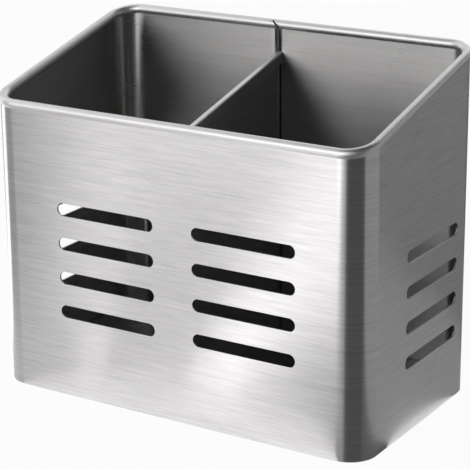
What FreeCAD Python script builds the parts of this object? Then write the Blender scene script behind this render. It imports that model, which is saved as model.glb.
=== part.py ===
"""Utensil drainer basket: a welded box of thin steel sheet with a divider and a raised floor.

The basket stands on z = 0 with +Z up, its front faces -Y and its width runs along X. The pieces are drawn
about the middle of the box's bottom and then set back by half of what the seam's rib adds to the depth,
so that the origin is the middle of the whole basket's footprint. All sizes are in millimetres.
"""
import FreeCAD, Part
import Sketcher
import math
import os

SIZES = {
    # Box, measured over the outer faces of the walls and to the top of the rolled rim
    "outer_width": 170.0,
    "outer_depth": 94.0,
    "front_height": 121.2,
    "back_height": 143.8,
    "corner_radius": 11.5,
    "gauge": 0.8,
    # Rolled rim, which stands a little proud of the walls
    "bead_radius": 1.95,
    "bead_proud": 0.6,
    # Drain slots, in equal rows in the front and in the two sides; the lows are the lowest rows' heights
    "slot_height": 5.3,
    "slot_pitch": 14.35,
    "slot_rows": 4,
    "front_slot_length": 45.6,
    "front_slot_spacing": 63.4,
    "front_slot_shift": 1.8,
    "front_slot_low": 36.3,
    "side_slot_length": 43.7,
    "left_slot_shift": -4.4,
    "left_slot_low": 33.4,
    "right_slot_shift": 9.5,
    "right_slot_low": 29.0,
    # Seam at the back, where the ends of the sheet turn outwards and clasp the divider
    "seam_shift": -5.6,
    "bend_radius": 1.6,
    "rib_depth": 6.0,
    "rib_corner": 6.0,
    "lap_reach": 1.8,
    "lap_gap": 0.8,
    "lap_angle": 50.0,
    # Divider, whose folded top edge runs parallel to the rim
    "divider_drop": 13.4,
    "hem_gap": 0.6,
    "hem_flap": 4.0,
    "divider_flange": 9.0,
    "flange_drop": 8.0,
    "tail_inset": 0.5,
    # Floor pan with its turned-down skirt
    "floor_height": 6.0,
    "skirt_lift": 0.5,
    "hole_diameter": 6.4,
    "hole_pitch": 18.0,
    "hole_row_pitch": 20.0,
    # Spot welds, which fill the small gap between two sheets
    "weld_gap": 0.15,
    "weld_diameter": 3.2,
    "weld_margin": 16.0,
}
# Angles where the rolled rim's strip leaves the wall and where its free edge stops
CURL_START = 262.0
CURL_END = -60.0
HOLES_EACH_WAY = 3
SEAM_WELD_ROWS = 5
FLANGE_WELD_ROWS = 4

doc = FreeCAD.newDocument("utensil_drainer_basket")
sheet = doc.addObject("Spreadsheet::Sheet", "Sizes")
for row, (size_name, size_value) in enumerate(SIZES.items(), start=1):
    sheet.set(f"A{row}", size_name)
    sheet.set(f"B{row}", str(size_value))
    sheet.setAlias(f"B{row}", size_name)
doc.recompute()

# Places that several pieces share, as expressions over the size sheet
HALF_WIDTH = "(Sizes.outer_width / 2)"
HALF_DEPTH = "(Sizes.outer_depth / 2)"
BEAD_INSET = "(Sizes.bead_radius - Sizes.bead_proud)"
RIM_RISE = "(Sizes.back_height - Sizes.front_height)"
RIM_SLOPE = f"({RIM_RISE} / (Sizes.outer_depth - 2 * {BEAD_INSET}))"
SEAM_HALF_GAP = "(Sizes.gauge / 2 + Sizes.weld_gap)"
SEAM_BEND_Y = f"({HALF_DEPTH} - Sizes.gauge + Sizes.bend_radius)"
RIB_END = f"({HALF_DEPTH} + Sizes.rib_depth)"
LAP_END = "(Sizes.seam_shift - Sizes.lap_reach)"
FLANGE_FACE = f"(-{HALF_DEPTH} + Sizes.gauge + Sizes.weld_gap)"
PLATE_FRONT = f"({FLANGE_FACE} + Sizes.bend_radius)"
HEM_END = f"({HALF_DEPTH} - Sizes.gauge - Sizes.weld_gap)"
HEM_RADIUS = "(Sizes.hem_gap / 2 + Sizes.gauge)"
HEM_CENTRE = "(Sizes.seam_shift + Sizes.gauge / 2 + Sizes.hem_gap / 2)"
DIVIDER_SLACK = f"(Sizes.gauge + abs({RIM_SLOPE}) * Sizes.outer_depth)"
DIVIDER_LOW = f"(Sizes.floor_height - {DIVIDER_SLACK})"
PAN_INSET = "(Sizes.gauge + Sizes.weld_gap)"
SET_BACK = "((Sizes.rib_depth - Sizes.bead_proud) / 2)"


def rim_axis(y):
    """Height of the middle of the rolled rim at depth y."""
    return f"(Sizes.front_height - Sizes.bead_radius + {RIM_SLOPE} * ({y} + {HALF_DEPTH} - {BEAD_INSET}))"


def wall_top(y):
    """Height where the flat wall ends, in the middle of the rolled sheet's thickness."""
    curl = "(Sizes.bead_radius - Sizes.gauge / 2)"
    beside = f"({BEAD_INSET} - Sizes.gauge / 2)"
    return f"({rim_axis(y)} - sqrt({curl} ^ 2 - {beside} ^ 2))"


def divider_top(y):
    """Height of the divider's folded edge at depth y."""
    return f"({rim_axis(y)} + Sizes.bead_radius - Sizes.divider_drop)"


FLANGE_TOP = f"({divider_top(PLATE_FRONT)} - Sizes.flange_drop)"


def number(expression):
    """Value that an expression over the size sheet has now."""
    result = sheet.evalExpression(expression)
    return float(getattr(result, "Value", result))


def origin_feature(body, role):
    """Plane or axis of a body's own origin."""
    return next(item for item in body.Origin.OriginFeatures if item.Role == role)


def new_sketch(body, name, plane, offset=None):
    """Sketch on one of the body's origin planes, moved along the plane's normal by an expression."""
    sketch = body.newObject("Sketcher::SketchObject", name)
    sketch.AttachmentSupport = [(origin_feature(body, plane), "")]
    sketch.MapMode = "FlatFace"
    if offset:
        sketch.setExpression("AttachmentOffset.Base.z", offset)
    return sketch


def place_point(sketch, item, end, x, y):
    """Tie a point of the sketch to its two expressions."""
    for kind, expression in (("DistanceX", x), ("DistanceY", y)):
        tie = sketch.addConstraint(Sketcher.Constraint(kind, -1, 1, item, end, number(expression)))
        sketch.setExpression(f"Constraints[{tie}]", expression)


def draw_outline(sketch, corners, arcs=None):
    """Closed outline through corners given as pairs of expressions.

    arcs maps the number of a side to its radius and its turn, 1 for anticlockwise and -1 for clockwise.
    """
    arcs = arcs or {}
    points = [FreeCAD.Vector(number(x), number(y), 0) for x, y in corners]
    items = []
    for side, start in enumerate(points):
        stop = points[(side + 1) % len(points)]
        if side not in arcs:
            items.append(sketch.addGeometry(Part.LineSegment(start, stop)))
            continue
        radius, turn = arcs[side]
        chord = stop - start
        to_middle = math.sqrt(max(number(radius) ** 2 - (chord.Length / 2) ** 2, 0))
        across = FreeCAD.Vector(-chord.y, chord.x, 0).normalize()
        centre = (start + stop) * 0.5 + across * (turn * to_middle)
        first, last = (start, stop) if turn > 0 else (stop, start)
        angles = [math.atan2(point.y - centre.y, point.x - centre.x) for point in (first, last)]
        circle = Part.Circle(centre, FreeCAD.Vector(0, 0, 1), number(radius))
        items.append(sketch.addGeometry(Part.ArcOfCircle(circle, angles[0], angles[1])))

    def ends(side):
        """Which ends of a side's line or arc come first and last along the outline."""
        return (2, 1) if side in arcs and arcs[side][1] < 0 else (1, 2)

    for side, item in enumerate(items):
        following = (side + 1) % len(items)
        joint = ("Coincident", item, ends(side)[1], items[following], ends(following)[0])
        sketch.addConstraint(Sketcher.Constraint(*joint))
        place_point(sketch, item, ends(side)[0], *corners[side])
        if side in arcs:
            tie = sketch.addConstraint(Sketcher.Constraint("Radius", item, number(arcs[side][0])))
            sketch.setExpression(f"Constraints[{tie}]", arcs[side][0])


def draw_rounded(sketch, inset):
    """Rounded rectangle that lies inset inside the box's outer faces."""
    x = f"({HALF_WIDTH} - {inset})"
    y = f"({HALF_DEPTH} - {inset})"
    radius = f"(Sizes.corner_radius - {inset})"
    x_flat = f"({x} - {radius})"
    y_flat = f"({y} - {radius})"
    corners = [(f"-{x_flat}", f"-{y}"), (x_flat, f"-{y}"), (x, f"-{y_flat}"), (x, y_flat),
               (x_flat, y), (f"-{x_flat}", y), (f"-{x}", y_flat), (f"-{x}", f"-{y_flat}")]
    draw_outline(sketch, corners, {side: (radius, 1) for side in (1, 3, 5, 7)})


def draw_box(sketch, x_low, x_high, y_low, y_high):
    """Rectangle between four expressions."""
    draw_outline(sketch, [(x_low, y_low), (x_high, y_low), (x_high, y_high), (x_low, y_high)])


def draw_slot(sketch, x, y, length):
    """Slot with round ends about a middle point."""
    end = f"({length} / 2)"
    radius = "(Sizes.slot_height / 2)"
    left = f"{x} - ({end} - {radius})"
    right = f"{x} + ({end} - {radius})"
    corners = [(left, f"{y} - {radius}"), (right, f"{y} - {radius}"), (f"{x} + {end}", y),
               (right, f"{y} + {radius}"), (left, f"{y} + {radius}"), (f"{x} - {end}", y)]
    draw_outline(sketch, corners, {side: (radius, 1) for side in (1, 2, 4, 5)})


def new_pad(body, sketch, length):
    """Pad of a sketch along its normal."""
    pad = body.newObject("PartDesign::Pad", f"{sketch.Name}_pad")
    pad.Profile = sketch
    pad.setExpression("Length", length)
    doc.recompute()
    return pad


def new_pocket(body, sketch, length=None, both_sides=False, along_normal=False):
    """Pocket of a sketch, through everything on its way unless a length is given."""
    volume = body.Shape.Volume
    pocket = body.newObject("PartDesign::Pocket", f"{sketch.Name}_pocket")
    pocket.Profile = sketch
    pocket.Type = "Length" if length else "ThroughAll"
    if length:
        pocket.setExpression("Length", length)
    pocket.SideType = "Symmetric" if both_sides else "One side"
    pocket.Reversed = along_normal
    doc.recompute()
    if body.Shape.Volume >= volume:
        raise RuntimeError(f"{pocket.Name} cuts nothing")
    return pocket


def repeat(body, pocket, ways):
    """Repeat a pocket along origin axes, ways being up to two of axis, spacing and count."""
    pattern = body.newObject("PartDesign::LinearPattern", f"{pocket.Name}_rows")
    pattern.Originals = [pocket]
    for suffix, (axis, spacing, count) in zip(("", "2"), ways):
        setattr(pattern, f"Direction{suffix}", (origin_feature(body, axis), [""]))
        setattr(pattern, f"Mode{suffix}", "Extent")
        pattern.setExpression(f"Length{suffix}", f"{spacing} * ({count} - 1)")
        pattern.setExpression(f"Occurrences{suffix}", count)
    body.Tip = pattern
    doc.recompute()


def seam_flange(sketch, side):
    """One end of the wall sheet, bent outwards beside the seam; side is -1 on the left and 1 on the right."""
    middle = f"(Sizes.seam_shift + ({side}) * ({SEAM_HALF_GAP} + Sizes.bend_radius))"
    near = f"({middle} - ({side}) * Sizes.bend_radius)"
    far = f"({near} + ({side}) * Sizes.gauge)"
    corners = [(middle, f"{HALF_DEPTH} - Sizes.gauge"), (near, SEAM_BEND_Y), (near, RIB_END),
               (far, RIB_END), (far, SEAM_BEND_Y), (middle, HALF_DEPTH)]
    arcs = {0: ("Sizes.bend_radius", -side), 4: ("Sizes.bend_radius - Sizes.gauge", side)}
    draw_outline(sketch, corners, arcs)


def wall_sheet():
    """Walls of the box below the rolled rim, with the seam's flanges and the drain slots."""
    body = doc.addObject("PartDesign::Body", "wall_sheet")
    plan = new_sketch(body, "wall_plan", "XY_Plane")
    draw_rounded(plan, "0")
    draw_rounded(plan, "Sizes.gauge")
    new_pad(body, plan, "Sizes.back_height")

    seam = new_sketch(body, "seam_mouth", "XY_Plane")
    left = f"(Sizes.seam_shift - {SEAM_HALF_GAP} - Sizes.bend_radius)"
    right = f"(Sizes.seam_shift + {SEAM_HALF_GAP} + Sizes.bend_radius)"
    draw_box(seam, left, right, f"{HALF_DEPTH} - 2 * Sizes.gauge", f"{HALF_DEPTH} + Sizes.gauge")
    new_pocket(body, seam, along_normal=True)
    flanges = new_sketch(body, "seam_flanges", "XY_Plane")
    seam_flange(flanges, -1)
    seam_flange(flanges, 1)
    new_pad(body, flanges, "Sizes.back_height")

    slant = new_sketch(body, "rim_slant", "YZ_Plane")
    low_y = f"-{HALF_DEPTH} - Sizes.gauge"
    high_y = f"{RIB_END} + Sizes.gauge"
    high_z = f"{rim_axis(high_y)} + Sizes.bead_radius"
    draw_outline(slant, [(low_y, wall_top(low_y)), (high_y, wall_top(high_y)),
                         (high_y, high_z), (low_y, high_z)])
    new_pocket(body, slant, both_sides=True)

    corner = new_sketch(body, "rib_corner", "YZ_Plane")
    top = wall_top(SEAM_BEND_Y)
    draw_outline(corner, [(SEAM_BEND_Y, top), (high_y, f"{top} - Sizes.rib_corner"), (high_y, high_z),
                          (SEAM_BEND_Y, high_z)])
    new_pocket(body, corner, both_sides=True)

    front = new_sketch(body, "front_slots", "XZ_Plane")
    for side in (-1, 1):
        middle = f"Sizes.front_slot_shift + ({side}) * Sizes.front_slot_spacing / 2"
        draw_slot(front, middle, "Sizes.front_slot_low", "Sizes.front_slot_length")
    rows = [("Z_Axis", "Sizes.slot_pitch", "Sizes.slot_rows")]
    repeat(body, new_pocket(body, front, along_normal=True), rows)
    for side, to_the_right in (("left", False), ("right", True)):
        slots = new_sketch(body, f"{side}_slots", "YZ_Plane")
        draw_slot(slots, f"Sizes.{side}_slot_shift", f"Sizes.{side}_slot_low", "Sizes.side_slot_length")
        repeat(body, new_pocket(body, slots, along_normal=to_the_right), rows)
    return body


def rim_point(x, y):
    """Point on the middle line of the rolled rim."""
    return FreeCAD.Vector(x, y, number(rim_axis(y)))


def rim_path():
    """Middle line of the rolled rim, from its left end at the seam round the box to its right end."""
    inset = number(BEAD_INSET)
    x = number(HALF_WIDTH) - inset
    y = number(HALF_DEPTH) - inset
    radius = number("Sizes.corner_radius") - inset
    left_end = number(f"{LAP_END} - Sizes.lap_gap")
    right_end = number(LAP_END)
    slope = number(RIM_SLOPE)
    quarters = []
    for side_x, side_y in ((-1, 1), (-1, -1), (1, -1), (1, 1)):
        middle = rim_point(side_x * (x - radius), side_y * (y - radius))
        along = FreeCAD.Vector(0, side_y * radius, side_y * radius * slope)
        across = FreeCAD.Vector(side_x * radius, 0, 0)
        quarters.append(Part.Ellipse(middle + along, middle + across, middle).toShape(0, math.pi / 2))
    runs = [
        (rim_point(left_end, y), rim_point(radius - x, y)),
        (rim_point(-x, y - radius), rim_point(-x, radius - y)),
        (rim_point(radius - x, -y), rim_point(x - radius, -y)),
        (rim_point(x, radius - y), rim_point(x, y - radius)),
        (rim_point(x - radius, y), rim_point(right_end, y)),
    ]
    lines = [Part.LineSegment(start, stop).toShape() for start, stop in runs]
    edges = [edge for pair in zip(lines, quarters) for edge in pair] + lines[-1:]
    path = doc.addObject("Part::Feature", "rim_path")
    path.Shape = Part.Wire(edges)
    return path


def rim_section():
    """Section of the rolled rim at its left end: a curled strip, open below beside the wall."""
    slope_angle = math.atan(number(RIM_SLOPE))
    inward = FreeCAD.Vector(0, -math.cos(slope_angle), -math.sin(slope_angle))
    upward = FreeCAD.Vector(0, -math.sin(slope_angle), math.cos(slope_angle))
    middle = rim_point(number(f"{LAP_END} - Sizes.lap_gap"), number(f"{HALF_DEPTH} - {BEAD_INSET}"))
    outer = number("Sizes.bead_radius")
    inner = outer - number("Sizes.gauge")

    def on_curl(radius, degrees):
        """Point of the section, with 0 degrees towards the inside of the box and 90 upwards."""
        angle = math.radians(degrees)
        return middle + inward * (radius * math.cos(angle)) + upward * (radius * math.sin(angle))

    top = (CURL_START + CURL_END) / 2
    edges = [
        Part.Arc(on_curl(outer, CURL_START), on_curl(outer, top), on_curl(outer, CURL_END)).toShape(),
        Part.LineSegment(on_curl(outer, CURL_END), on_curl(inner, CURL_END)).toShape(),
        Part.Arc(on_curl(inner, CURL_END), on_curl(inner, top), on_curl(inner, CURL_START)).toShape(),
        Part.LineSegment(on_curl(inner, CURL_START), on_curl(outer, CURL_START)).toShape(),
    ]
    section = doc.addObject("Part::Feature", "rim_section")
    section.Shape = Part.Wire(edges)
    return section


def rolled_rim():
    """Rolled rim, whose right end runs on over the seam and is cut off at a slant below."""
    roll = doc.addObject("Part::Sweep", "rim_roll")
    roll.Sections = [rim_section()]
    roll.Spine = (rim_path(), [])
    roll.Solid = True
    roll.Frenet = False
    slant = doc.addObject("Part::Wedge", "lap_slant")
    bead_height = "(2 * Sizes.bead_radius + Sizes.gauge)"
    bounds = {
        "Xmin": f"{LAP_END} - Sizes.lap_gap / 2",
        "X2min": f"{LAP_END} - Sizes.lap_gap / 2",
        "Xmax": f"{LAP_END} + {bead_height} * tan(Sizes.lap_angle)",
        "X2max": LAP_END,
        "Ymin": f"Sizes.back_height - {bead_height}",
        "Ymax": "Sizes.back_height",
        "Zmin": f"-{HALF_DEPTH} - {bead_height}",
        "Z2min": f"-{HALF_DEPTH} - {bead_height}",
        "Zmax": f"-{HALF_DEPTH} + {bead_height}",
        "Z2max": f"-{HALF_DEPTH} + {bead_height}",
    }
    for name, expression in bounds.items():
        slant.setExpression(name, expression)
    slant.Placement = FreeCAD.Placement(FreeCAD.Vector(), FreeCAD.Rotation(FreeCAD.Vector(1, 0, 0), 90))
    rim = doc.addObject("Part::Cut", "rolled_rim")
    rim.Base = roll
    rim.Tool = slant
    return rim


def wall_wrap():
    """One sheet bent round the four corners, with its rolled rim."""
    wrap = doc.addObject("Part::Fuse", "wall_wrap")
    wrap.Base = wall_sheet()
    wrap.Tool = rolled_rim()
    wrap.Refine = True
    doc.recompute()
    return wrap


def divider():
    """Sheet that parts the basket, with a folded top, a flange at the front and a tail in the seam."""
    body = doc.addObject("PartDesign::Body", "divider")
    left = "(Sizes.seam_shift - Sizes.gauge / 2)"
    right = "(Sizes.seam_shift + Sizes.gauge / 2)"

    def slanted_pad(sketch, start, stop):
        """Pad that runs backwards and climbs with the rim."""
        pad = body.newObject("PartDesign::Pad", f"{sketch.Name}_pad")
        pad.Profile = sketch
        pad.UseCustomVector = True
        pad.Direction = FreeCAD.Vector(0, 1, number(RIM_SLOPE))
        pad.setExpression("Direction.z", RIM_SLOPE)
        pad.AlongSketchNormal = True
        pad.setExpression("Length", f"{stop} - {start}")
        doc.recompute()

    plate = new_sketch(body, "divider_plate", "XZ_Plane", f"-{PLATE_FRONT}")
    fold = f"({divider_top(PLATE_FRONT)} - {HEM_RADIUS})"
    flap_end = f"({fold} - Sizes.hem_flap)"
    fold_gap = "(Sizes.hem_gap / 2)"
    corners = [
        (left, DIVIDER_LOW), (left, fold), (HEM_CENTRE, f"{fold} + {HEM_RADIUS}"),
        (f"{HEM_CENTRE} + {HEM_RADIUS}", fold), (f"{HEM_CENTRE} + {HEM_RADIUS}", flap_end),
        (f"{HEM_CENTRE} + {fold_gap}", flap_end), (f"{HEM_CENTRE} + {fold_gap}", fold),
        (HEM_CENTRE, f"{fold} + {fold_gap}"), (right, fold), (right, DIVIDER_LOW),
    ]
    arcs = {1: (HEM_RADIUS, -1), 2: (HEM_RADIUS, -1), 6: (fold_gap, 1), 7: (fold_gap, 1)}
    draw_outline(plate, corners, arcs)
    slanted_pad(plate, PLATE_FRONT, HEM_END)

    tail = new_sketch(body, "divider_tail", "XZ_Plane", f"-{HEM_END}")
    draw_box(tail, left, right, DIVIDER_LOW, f"{divider_top(HEM_END)} - Sizes.gauge / 2")
    slanted_pad(tail, HEM_END, f"({RIB_END} - Sizes.tail_inset)")

    below = new_sketch(body, "divider_foot", "YZ_Plane")
    under = f"{DIVIDER_LOW} - {DIVIDER_SLACK}"
    draw_box(below, "-Sizes.outer_depth", "Sizes.outer_depth", under, "Sizes.floor_height")
    new_pocket(body, below, both_sides=True)

    flange = new_sketch(body, "divider_flange_plan", "XY_Plane", "Sizes.floor_height")
    bend = f"({right} + Sizes.bend_radius - Sizes.gauge)"
    end = f"({bend} + Sizes.divider_flange)"
    inner_face = f"({FLANGE_FACE} + Sizes.gauge)"
    corners = [(right, PLATE_FRONT), (bend, inner_face), (end, inner_face), (end, FLANGE_FACE),
               (bend, FLANGE_FACE), (left, PLATE_FRONT)]
    arcs = {0: ("Sizes.bend_radius - Sizes.gauge", 1), 4: ("Sizes.bend_radius", -1)}
    draw_outline(flange, corners, arcs)
    new_pad(body, flange, f"{FLANGE_TOP} - Sizes.floor_height")
    return body


def edges_at_height(shape, height):
    """Names of a shape's edges that lie level at a height."""
    return [f"Edge{index}" for index, edge in enumerate(shape.Edges, start=1)
            if abs(edge.BoundBox.ZMin - height) < 1e-6 and abs(edge.BoundBox.ZMax - height) < 1e-6]


def floor_pan():
    """Raised floor with a turned-down skirt and round drain holes."""
    body = doc.addObject("PartDesign::Body", "floor_pan")
    outside = new_sketch(body, "pan_outside", "XY_Plane", "Sizes.skirt_lift")
    draw_rounded(outside, PAN_INSET)
    new_pad(body, outside, "Sizes.floor_height - Sizes.skirt_lift")
    hollow = new_sketch(body, "pan_hollow", "XY_Plane", "Sizes.skirt_lift")
    draw_rounded(hollow, f"({PAN_INSET} + Sizes.gauge)")
    new_pocket(body, hollow, "Sizes.floor_height - Sizes.skirt_lift - Sizes.gauge", along_normal=True)
    bends = (("Sizes.floor_height", "Sizes.bend_radius"),
             ("Sizes.floor_height - Sizes.gauge", "Sizes.bend_radius - Sizes.gauge"))
    for height, radius in bends:
        bend = body.newObject("PartDesign::Fillet", "pan_bend")
        base = body.Tip if body.Tip != bend else bend.BaseFeature
        bend.Base = (base, edges_at_height(base.Shape, number(height)))
        bend.setExpression("Radius", radius)
        body.Tip = bend
        doc.recompute()

    holes = new_sketch(body, "pan_holes", "XY_Plane", "Sizes.floor_height")
    span = f"(({HOLES_EACH_WAY} - 1) / 2)"
    for side in (-1, 1):
        wall = f"({side}) * ({HALF_WIDTH} - Sizes.gauge)"
        sheet_face = f"Sizes.seam_shift + ({side}) * Sizes.gauge / 2"
        x = f"({wall} + {sheet_face}) / 2 - {span} * Sizes.hole_pitch"
        y = f"-{span} * Sizes.hole_row_pitch"
        start = FreeCAD.Vector(number(x), number(y), 0)
        radius = number("Sizes.hole_diameter / 2")
        item = holes.addGeometry(Part.Circle(start, FreeCAD.Vector(0, 0, 1), radius))
        place_point(holes, item, 3, x, y)
        tie = holes.addConstraint(Sketcher.Constraint("Radius", item, radius))
        holes.setExpression(f"Constraints[{tie}]", "Sizes.hole_diameter / 2")
    count = str(HOLES_EACH_WAY)
    ways = [("X_Axis", "Sizes.hole_pitch", count), ("Y_Axis", "Sizes.hole_row_pitch", count)]
    repeat(body, new_pocket(body, holes), ways)
    return body


def welds(label, spots):
    """Group of spot welds, each a thin disc given by its face's middle and the direction across the gap."""
    group = doc.addObject("Part::Compound", label)
    discs = []
    for place, direction in spots:
        disc = doc.addObject("Part::Cylinder", f"{label}_spot")
        disc.setExpression("Radius", "Sizes.weld_diameter / 2")
        disc.setExpression("Height", "Sizes.weld_gap")
        turn = FreeCAD.Rotation(FreeCAD.Vector(0, 0, 1), FreeCAD.Vector(*direction))
        disc.Placement = FreeCAD.Placement(FreeCAD.Vector(*map(number, place)), turn)
        discs.append(disc)
    group.Links = discs
    doc.recompute()
    return group


def weld_heights(top, count):
    """Heights of evenly spaced welds on an upright sheet between the floor and its top."""
    low = "(Sizes.floor_height + Sizes.weld_margin)"
    rise = f"({top} - Sizes.weld_margin - {low})"
    return [f"({low} + {rise} * {row} / {count - 1})" for row in range(count)]


def seam_welds():
    """Welds on both faces of the divider's tail, up the middle of the rib."""
    y = f"(({SEAM_BEND_Y} + {RIB_END}) / 2)"
    spots = []
    for z in weld_heights(divider_top(HEM_END), SEAM_WELD_ROWS):
        for side in (-1, 1):
            spots.append(((f"Sizes.seam_shift + ({side}) * Sizes.gauge / 2", y, z), (side, 0, 0)))
    return welds("seam_welds", spots)


def floor_welds():
    """Welds round the skirt of the floor pan."""
    z = "((Sizes.skirt_lift + Sizes.floor_height - Sizes.bend_radius) / 2)"
    spots = []
    for side in (-1, 1):
        for place in (-3, -1, 1, 3):
            x = f"{place} * ({HALF_WIDTH} - Sizes.weld_margin) / 3"
            spots.append(((x, f"({side}) * ({HALF_DEPTH} - {PAN_INSET})", z), (0, side, 0)))
        for place in (-1, 1):
            y = f"({place}) * ({HALF_DEPTH} - Sizes.weld_margin)"
            spots.append(((f"({side}) * ({HALF_WIDTH} - {PAN_INSET})", y, z), (side, 0, 0)))
    return welds("floor_welds", spots)


def divider_welds():
    """Welds between the divider's front flange and the front wall."""
    x = "(Sizes.seam_shift - Sizes.gauge / 2 + Sizes.bend_radius + Sizes.divider_flange / 2)"
    heights = weld_heights(FLANGE_TOP, FLANGE_WELD_ROWS)
    return welds("divider_welds", [((x, FLANGE_FACE, z), (0, -1, 0)) for z in heights])


def check_document():
    """Stop if any object of the document failed."""
    for item in doc.Objects:
        if "Invalid" in item.State or "Error" in item.State:
            raise RuntimeError(f"{item.Name} failed: {item.State}")


pieces = [wall_wrap(), divider(), floor_pan(), seam_welds(), floor_welds(), divider_welds()]
doc.recompute()
check_document()
for piece in pieces:
    piece.Placement = FreeCAD.Placement(FreeCAD.Vector(0, -number(SET_BACK), 0), FreeCAD.Rotation())
    if piece.Shape.isNull() or not piece.Shape.isValid():
        raise RuntimeError(f"{piece.Label} has no valid shape")
os.makedirs("parts", exist_ok=True)
for piece in pieces:
    piece.Shape.exportStep(f"parts/{piece.Label}.step")
    box = piece.Shape.optimalBoundingBox(False, False)
    print(f"{piece.Label}: {len(piece.Shape.Solids)} solids, volume {piece.Shape.Volume:.1f}, "
          f"x {box.XMin:.2f} to {box.XMax:.2f}, y {box.YMin:.2f} to {box.YMax:.2f}, "
          f"z {box.ZMin:.2f} to {box.ZMax:.2f}")
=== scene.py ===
"""Looks of the utensil drainer basket: brushed steel sheet round a divider and a raised floor.

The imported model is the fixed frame. Every new piece is modelled in metres in the same frame, rides on
its one body and stands for the node whose place it takes.
"""
import logging
import math
from dataclasses import dataclass, replace
from enum import Enum
from functools import cached_property
from typing import Any, Iterable, Optional, Union

import bmesh
import bpy
from mathutils import Matrix, Vector


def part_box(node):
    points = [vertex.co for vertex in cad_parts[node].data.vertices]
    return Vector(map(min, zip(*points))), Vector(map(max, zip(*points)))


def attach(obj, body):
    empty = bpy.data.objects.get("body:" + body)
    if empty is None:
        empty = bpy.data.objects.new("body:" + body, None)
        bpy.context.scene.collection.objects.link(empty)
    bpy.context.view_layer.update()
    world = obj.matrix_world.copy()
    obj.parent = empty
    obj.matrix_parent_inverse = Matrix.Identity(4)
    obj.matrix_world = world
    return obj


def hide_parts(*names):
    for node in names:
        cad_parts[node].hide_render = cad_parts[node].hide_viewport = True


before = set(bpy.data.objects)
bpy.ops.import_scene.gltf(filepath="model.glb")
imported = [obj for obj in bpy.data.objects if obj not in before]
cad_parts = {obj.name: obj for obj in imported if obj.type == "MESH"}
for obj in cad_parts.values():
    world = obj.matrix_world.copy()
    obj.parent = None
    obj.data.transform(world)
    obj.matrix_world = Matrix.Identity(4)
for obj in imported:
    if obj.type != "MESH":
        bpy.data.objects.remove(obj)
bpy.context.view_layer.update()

Mesh = bmesh.types.BMesh
Vert = bmesh.types.BMVert
Edge = bmesh.types.BMEdge
Face = bmesh.types.BMFace
Material = bpy.types.Material
Point = tuple[float, float, float]
Colour = tuple[float, float, float, float]

MM = 0.001
BODY = "root"
AXIS_X = Vector((1, 0, 0))
AXIS_Y = Vector((0, 1, 0))
AXIS_Z = Vector((0, 0, 1))
WHITE = (1, 1, 1, 1)
NOISE_MEAN = 0.5
# How near two points are to be the same, and how near a point is to a plane to lie on it
SAME_POINT = MM / 1000
ON_PLANE = MM / 100
# Places in a sheet's list of finishes, counted from the outer face: cut edges, rolled edges, inner faces
EDGE_OFFSET = 1
ROLLED_SLOT = 2
INNER_OFFSET = 4
# Colour sockets of a Mix node
MIX_FIRST = 6
MIX_SECOND = 7
MIX_RESULT = 2
LOG = logging.getLogger("basket")


class Value:
    """Socket of a shader graph that takes part in Python arithmetic."""

    def __init__(self, graph: "Graph", socket: bpy.types.NodeSocket) -> None:
        """Wrap an output socket of a graph."""
        self.graph = graph
        self.socket = socket

    def math(self, operation: str, *operands: "Input") -> "Value":
        """Add a Math node.

        Args:
            operation: Name of the Math node's operation.
            operands: Values or numbers for its sockets, in order.

        Returns:
            The node's result.
        """
        return self.graph.node("ShaderNodeMath", {"operation": operation}, dict(enumerate(operands)))

    def __add__(self, other: "Input") -> "Value":
        """Sum of two values."""
        return self.math("ADD", self, other)

    def __radd__(self, other: "Input") -> "Value":
        """Sum of a number and this value."""
        return self.math("ADD", other, self)

    def __sub__(self, other: "Input") -> "Value":
        """Difference of two values."""
        return self.math("SUBTRACT", self, other)

    def __mul__(self, other: "Input") -> "Value":
        """Product of two values."""
        return self.math("MULTIPLY", self, other)

    def __rmul__(self, other: "Input") -> "Value":
        """Product of a number and this value."""
        return self.math("MULTIPLY", other, self)

    def larger(self, other: "Input") -> "Value":
        """Larger of two values."""
        return self.math("MAXIMUM", self, other)

    def outside(self, limit: "Input") -> "Value":
        """1 where this value lies further from zero than a limit, otherwise 0."""
        return self.math("GREATER_THAN", self.math("ABSOLUTE", self), limit)


Input = Union[Value, float, int, tuple]


class Graph:
    """Node tree that is filled through one method."""

    def __init__(self, tree: bpy.types.NodeTree) -> None:
        """Empty the tree, ready for new nodes."""
        self.tree = tree
        tree.nodes.clear()

    def node(self, kind: str, settings: Optional[dict[str, Any]] = None,
             inputs: Optional[dict[Union[str, int], Input]] = None,
             output: Union[str, int] = 0) -> Optional[Value]:
        """Add a node.

        Args:
            kind: Type of the node.
            settings: Properties that are set first.
            inputs: Values, numbers or colours of its sockets, by name or number.
            output: Socket to hand back.

        Returns:
            The chosen output, or None where the node has no output.
        """
        node = self.tree.nodes.new(kind)
        for name, setting in (settings or {}).items():
            setattr(node, name, setting)
        for socket, value in (inputs or {}).items():
            if isinstance(value, Value):
                self.tree.links.new(value.socket, node.inputs[socket])
            else:
                node.inputs[socket].default_value = value
        return Value(self, node.outputs[output]) if len(node.outputs) else None


def new_material(name: str) -> tuple[Material, Graph]:
    """Make a material with an empty graph.

    Args:
        name: Name of the material.

    Returns:
        The material and its graph.
    """
    material = bpy.data.materials.new(name)
    material.use_nodes = True
    return material, Graph(material.node_tree)


def noise(graph: Graph, place: Value, scale: float, layers: float) -> Value:
    """Add a noise texture.

    Args:
        graph: Graph to add to.
        place: Coordinates to read.
        scale: Changes per unit of the coordinates.
        layers: Number of finer layers.

    Returns:
        The noise's height, from 0 to 1.
    """
    return graph.node("ShaderNodeTexNoise", None, {"Vector": place, "Scale": scale, "Detail": layers})


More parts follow.
